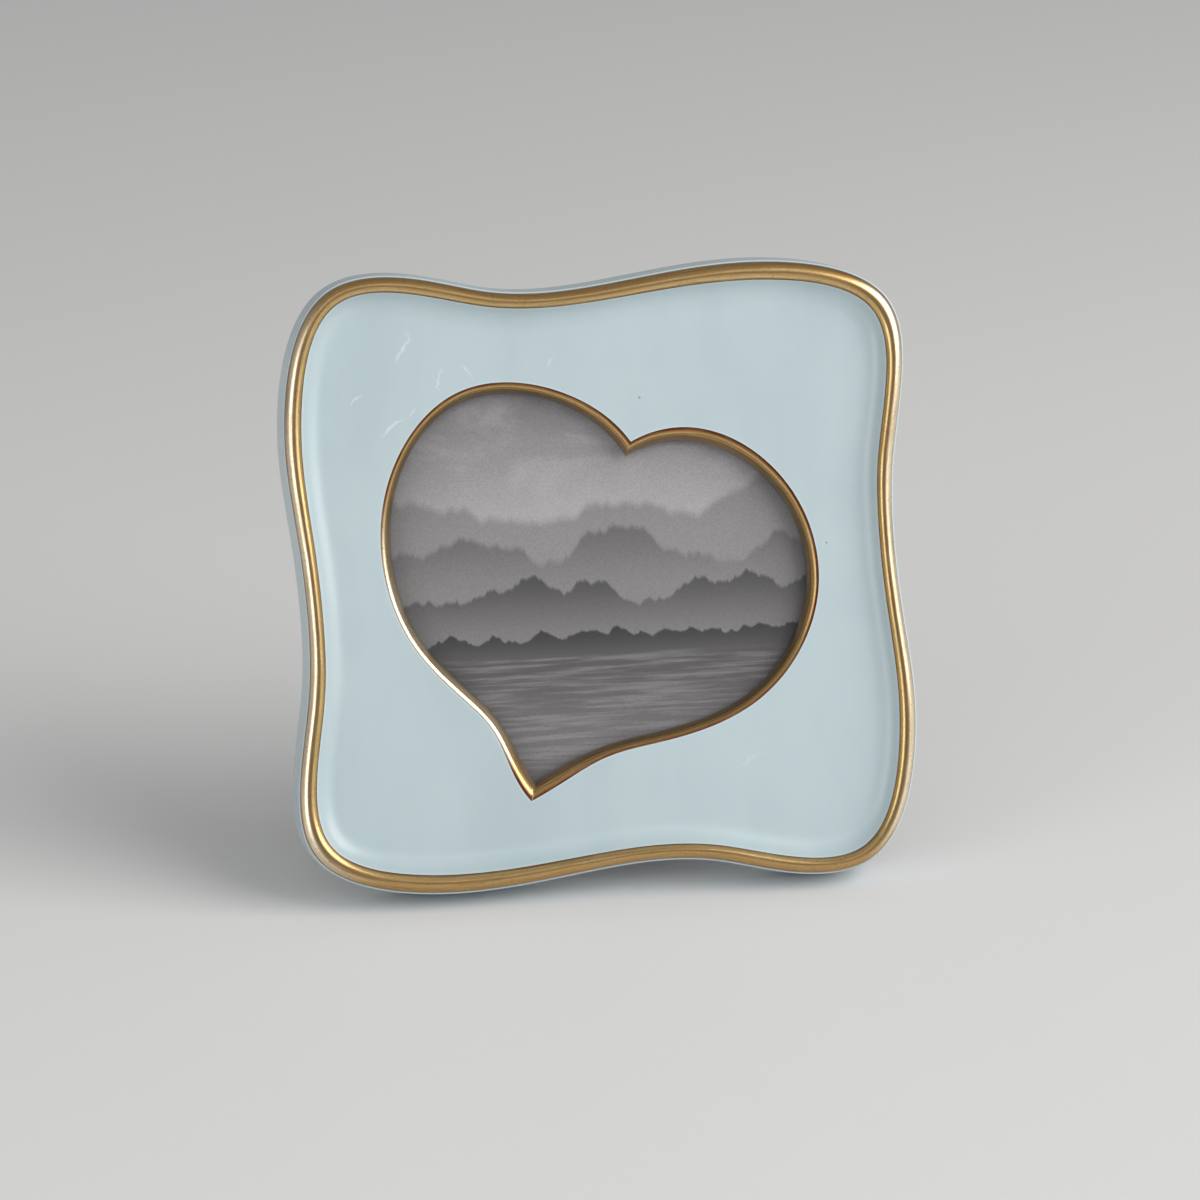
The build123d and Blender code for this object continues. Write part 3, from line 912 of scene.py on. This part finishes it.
def addPocket(shell, source):
    # pocket walls and pilot holes come over from the CAD copy
    pilots = [(toFace @ Vector(joint["pos_m"])).xy for joint in turnJoints]

    def inPocket(corner):
        wide = max(abs(corner.co.x), abs(corner.co.y))
        return wide < pocket["half"] and corner.co.z < rim["glassFront"] + pocket["slack"]

    def inPilot(corner):
        away = min((corner.co.xy - pilot).length for pilot in pilots)
        return away < pocket["pilotReach"] and corner.co.z < pocket["pilotDepth"]

    spare = []
    for face in source.faces:
        wanted = all(map(inPilot, face.verts)) or all(map(inPocket, face.verts))
        if not wanted or isLevel(face, 0.0) or isLevel(face, rim["glassFront"]):
            spare.append(face)
    bmesh.ops.delete(source, geom=spare, context="FACES")
    inner = bpy.data.meshes.new("pocket")
    source.to_mesh(inner)
    known = set(shell.verts)
    shell.from_mesh(inner)
    gapLayer = shell.verts.layers.float["edgeGap"]
    for corner in set(shell.verts) - known:
        corner[gapLayer] = farGap
    bpy.data.meshes.remove(inner)


def makeCasting():
    source = mergedCopy("frame_casting")
    bmesh.ops.transform(source, matrix=toFace, verts=source.verts)
    shell = bmesh.new()
    shell.verts.layers.int.new("station")
    for name in ("acrossShare", "edgeGap", "lipTurn"):
        shell.verts.layers.float.new(name)
    dishEdges = drawBody(shell, ringPlaces(source))
    heartEdges = drawLip(shell, source)
    # the dish between the cove and the lip
    bmesh.ops.triangle_fill(shell, edges=[*dishEdges, *heartEdges], use_beauty=True)
    addPocket(shell, source)
    source.free()
    # the back round the pocket, and the ledge that the glass lies on
    for height in (0.0, rim["glassFront"]):
        gaps = [e for e in shell.edges if len(e.link_faces) == 1 and isLevel(e, height)]
        bmesh.ops.triangle_fill(shell, edges=gaps, use_beauty=True)
    bmesh.ops.transform(shell, matrix=faceMatrix, verts=shell.verts)
    # the two lower lobes are ground flat
    everything = [*shell.verts, *shell.edges, *shell.faces]
    cut = bmesh.ops.bisect_plane(
        shell, geom=everything, plane_co=(0, 0, 0), plane_no=(0, 0, 1), clear_inner=True
    )
    ground = [item for item in cut["geom_cut"] if isinstance(item, bmesh.types.BMEdge)]
    bmesh.ops.contextual_create(shell, geom=ground)
    openLeft = [edge for edge in shell.edges if len(edge.link_faces) != 2]
    print("casting open edges", len(openLeft), "faces", len(shell.faces))
    finishes = [lacquer, rimGilding, lipGilding]
    angle = rim["smoothAngle"]
    keep(shell, "gilded_casting", "frame_casting", "frame", finishes, angle, True)


makeCasting()
print("casting made")


# Hinge, pin, turn buttons and cloth get the small round that real edges have
rounding = {
    "segments": 2,
    "smoothAngle": 30.0,
    # edges that turn more than this are rounded, and faces that turn less are one
    "roundAngle": 40.0,
    "evenAngle": 0.5,
}
softPieces = {
    # node: slot, body, finish, round
    "hinge_fixed_leaf": ("brass", "frame", brass, 0.12 * mm),
    "hinge_moving_leaf": ("brass", "strut", brass, 0.12 * mm),
    "hinge_pin": ("steel", "frame", steel, 0.20 * mm),
    "board_velvet": ("velvet", "frame", velvet, 0.22 * mm),
    "strut_velvet": ("velvet", "strut", velvet, 0.18 * mm),
}
for corner in ("upper_left", "upper_right", "lower_left", "lower_right"):
    button = "turn_button_" + corner
    softPieces[button] = ("brass", button, brass, 0.18 * mm)
for node, (slotName, body, finish, width) in softPieces.items():
    work = mergedCopy(node)
    even = math.radians(rounding["evenAngle"])
    bmesh.ops.dissolve_limit(work, angle_limit=even, verts=work.verts, edges=work.edges)
    piece = keep(work, "soft_" + node, node, body, [finish], rounding["smoothAngle"])
    soften = piece.modifiers.new("round", "BEVEL")
    soften.width = width
    soften.segments = rounding["segments"]
    soften.limit_method = "ANGLE"
    soften.angle_limit = math.radians(rounding["roundAngle"])
    soften.use_clamp_overlap = True
    soften.harden_normals = False
print("hinge, buttons and cloth made")


# Domed rivets and slotted screws
rivet = {
    # out from the axis and up the head
    "headShares": ((0.0, 1.0), (0.45, 0.86), (0.80, 0.50), (1.0, 0.0)),
    "headRadius": 1.7 * mm,
    "headHeight": 0.6 * mm,
    "sides": 40,
}
screw = {
    "headShares": ((0.0, 1.0), (0.50, 0.93), (0.86, 0.70), (1.0, 0.30), (1.0, 0.0)),
    "headRadius": 2.2 * mm,
    "headHeight": 1.1 * mm,
    "slotWidth": 0.55 * mm,
    "slotDepth": 0.55 * mm,
    "slotTurns": (24.0, -38.0, 71.0, 9.0),
    "sides": 48,
}
fastener = {
    # points of the axis this near are one, and the block that cuts a slot is this long and high
    "poleWeld": 0.001 * mm,
    "cutter": 10 * mm,
    "smoothAngle": 32.0,
}


def partsOf(node):
    # the corners of each loose part of a node
    work = mergedCopy(node)
    left = set(work.verts)
    groups = []
    for start in work.verts:
        if start not in left:
            continue
        left.remove(start)
        group = [start]
        for corner in group:
            for edge in corner.link_edges:
                other = edge.other_vert(corner)
                if other in left:
                    left.remove(other)
                    group.append(other)
        groups.append([corner.co.copy() for corner in group])
    work.free()
    return groups


def makeFasteners(name, node, body, sizes, way):
    # each one is turned on its own axis from the shank's end to the dome, with the CAD's sizes
    turned = Matrix((across, way.cross(across), way)).transposed().to_4x4()
    whole = bmesh.new()
    for number, points in enumerate(partsOf(node)):
        heights = [point.dot(way) for point in points]
        low, high = min(heights), max(heights)
        middle = sum(points, Vector()) / len(points)
        axisPoint = middle - way * middle.dot(way)
        radius, head = sizes["headRadius"], sizes["headHeight"]
        seat = high - head
        shank = min((point - axisPoint - way * point.dot(way)).length for point in points)
        profile = [(0.0, low), (shank, low), (shank, seat), (radius, seat)]
        profile += [(out * radius, seat + up * head) for out, up in sizes["headShares"][-2::-1]]
        one = bmesh.new()
        corners = [one.verts.new((x, 0, z)) for x, z in profile]
        line = [one.edges.new(pair) for pair in zip(corners, corners[1:])]
        bmesh.ops.spin(
            one, geom=[*corners, *line], axis=(0, 0, 1), cent=(0, 0, 0), angle=math.tau,
            steps=sizes["sides"], use_merge=True,
        )
        bmesh.ops.remove_doubles(one, verts=one.verts, dist=fastener["poleWeld"])
        bmesh.ops.recalc_face_normals(one, faces=one.faces)
        if "slotTurns" in sizes:
            cutSlot(one, sizes["slotWidth"], high - sizes["slotDepth"], sizes["slotTurns"][number])
        place = Matrix.Translation(axisPoint) @ turned
        bmesh.ops.transform(one, matrix=place, verts=one.verts)
        mesh = bpy.data.meshes.new("part")
        one.to_mesh(mesh)
        one.free()
        whole.from_mesh(mesh)
        bpy.data.meshes.remove(mesh)
    keep(whole, name, node, body, [brass], fastener["smoothAngle"])


def cutSlot(work, width, floor, turn):
    # a driver slot, cut with a block through the head
    size = fastener["cutter"]
    block = bmesh.new()
    bmesh.ops.create_cube(block, size=1.0)
    bmesh.ops.scale(block, vec=(size, width, size), verts=block.verts)
    bmesh.ops.translate(block, vec=(0, 0, floor + size / 2), verts=block.verts)
    turnMatrix = Matrix.Rotation(math.radians(turn), 3, "Z")
    bmesh.ops.rotate(block, matrix=turnMatrix, verts=block.verts)
    pair = []
    for source in (work, block):
        mesh = bpy.data.meshes.new("slotting")
        source.to_mesh(mesh)
        holder = bpy.data.objects.new("slotting", mesh)
        bpy.context.scene.collection.objects.link(holder)
        pair.append(holder)
    block.free()
    cut = pair[0].modifiers.new("slot", "BOOLEAN")
    cut.operation = "DIFFERENCE"
    cut.solver = "EXACT"
    cut.object = pair[1]
    bpy.context.view_layer.update()
    evaluated = pair[0].evaluated_get(bpy.context.evaluated_depsgraph_get())
    finished = bpy.data.meshes.new_from_object(evaluated)
    work.clear()
    work.from_mesh(finished)
    for holder in pair:
        mesh = holder.data
        bpy.data.objects.remove(holder)
        bpy.data.meshes.remove(mesh)
    bpy.data.meshes.remove(finished)


# the strut's rear face looks this way at rest, from its lean off upright
strutLean = math.radians(18.0)
strutRear = Vector((0, math.cos(strutLean), math.sin(strutLean)))
makeFasteners("domed_board_rivets", "board_rivets", "frame", rivet, -faceNormal)
makeFasteners("domed_strut_rivets", "strut_rivets", "strut", rivet, strutRear)
makeFasteners("slotted_screws", "turn_button_screws", "frame", screw, -faceNormal)
print("fasteners made")


# What lies between glass and panel, and inside the boards, keeps its CAD solid
plainFinishes = {
    "glass_pane": glass,
    "photo_print": picture,
    "filler_card": greyBoard,
    "board_core": fibreboard,
    "board_lining": blackPaper,
    "strut_core": fibreboard,
    "strut_lining": blackPaper,
}
for nodeName, finish in plainFinishes.items():
    mesh = frame["nodes"][nodeName].data
    mesh.materials.clear()
    mesh.materials.append(finish)


# Floor, lamps and camera
stage = {
    "floorSize": 6.0,
    "floorGrey": 0.78,
    "floorRoughness": 0.6,
    "worldGrey": 0.34,
}
lamps = {
    # way from the frame, how far off, width and height, watts, colour
    "key": ((0.72, -0.45, 0.53), 2.0, (1.6, 1.6), 37.0, (1.0, 0.985, 0.96)),
    "window": ((-0.76, -0.62, 0.20), 1.3, (0.55, 0.8), 3.9, (1.0, 1.0, 1.0)),
    "front": ((-0.15, -0.80, 0.58), 2.4, (1.4, 0.9), 3.0, (1.0, 1.0, 1.0)),
}
cameraPlace = {
    "target": (-0.0008, -0.0172, 0.0676),
    "distance": 1.0346,
    # degrees: turned off the y axis, looking down, and leaning aside
    "bearing": 5.45,
    "height": 18.6,
    "roll": -1.1,
    "lens": 135.0,
    "farClip": 20.0,
}


def makeFloor():
    work = bmesh.new()
    bmesh.ops.create_grid(work, x_segments=1, y_segments=1, size=stage["floorSize"] / 2)
    mesh = bpy.data.meshes.new("floor")
    work.to_mesh(mesh)
    work.free()
    floor = bpy.data.objects.new("floor", mesh)
    bpy.context.scene.collection.objects.link(floor)
    finish = Finish("pale_floor")
    grey = stage["floorGrey"]
    roughness = stage["floorRoughness"]
    mesh.materials.append(finish.surface(Base_Color=(grey, grey, grey, 1), Roughness=roughness))


def makeLamps():
    middle = Vector(cameraPlace["target"])
    for name, (way, away, size, power, colour) in lamps.items():
        lamp = bpy.data.lights.new(name, "AREA")
        lamp.shape = "RECTANGLE"
        lamp.size, lamp.size_y = size
        lamp.energy = power
        lamp.color = colour
        holder = bpy.data.objects.new(name, lamp)
        holder.location = middle + Vector(way).normalized() * away
        holder.rotation_mode = "QUATERNION"
        holder.rotation_quaternion = (-Vector(way)).to_track_quat("-Z", "Y")
        bpy.context.scene.collection.objects.link(holder)
    world = bpy.data.worlds.new("room")
    bpy.context.scene.world = world
    world.use_nodes = True
    grey = stage["worldGrey"]
    world.node_tree.nodes["Background"].inputs["Color"].default_value = (grey, grey, grey, 1)


def makeCamera():
    bearing = math.radians(cameraPlace["bearing"])
    height = math.radians(cameraPlace["height"])
    flat = math.cos(height)
    ahead = Vector((math.sin(bearing) * flat, math.cos(bearing) * flat, -math.sin(height)))
    lens = bpy.data.cameras.new("camera")
    lens.lens = cameraPlace["lens"]
    lens.clip_end = cameraPlace["farClip"]
    camera = bpy.data.objects.new("camera", lens)
    bpy.context.scene.collection.objects.link(camera)
    camera.location = Vector(cameraPlace["target"]) - ahead * cameraPlace["distance"]
    camera.rotation_mode = "QUATERNION"
    roll = Matrix.Rotation(math.radians(cameraPlace["roll"]), 3, "Z").to_quaternion()
    camera.rotation_quaternion = ahead.to_track_quat("-Z", "Y") @ roll
    bpy.context.scene.camera = camera


makeFloor()
makeLamps()
makeCamera()
bpy.context.scene.view_settings.view_transform = "Standard"
print("stage set")
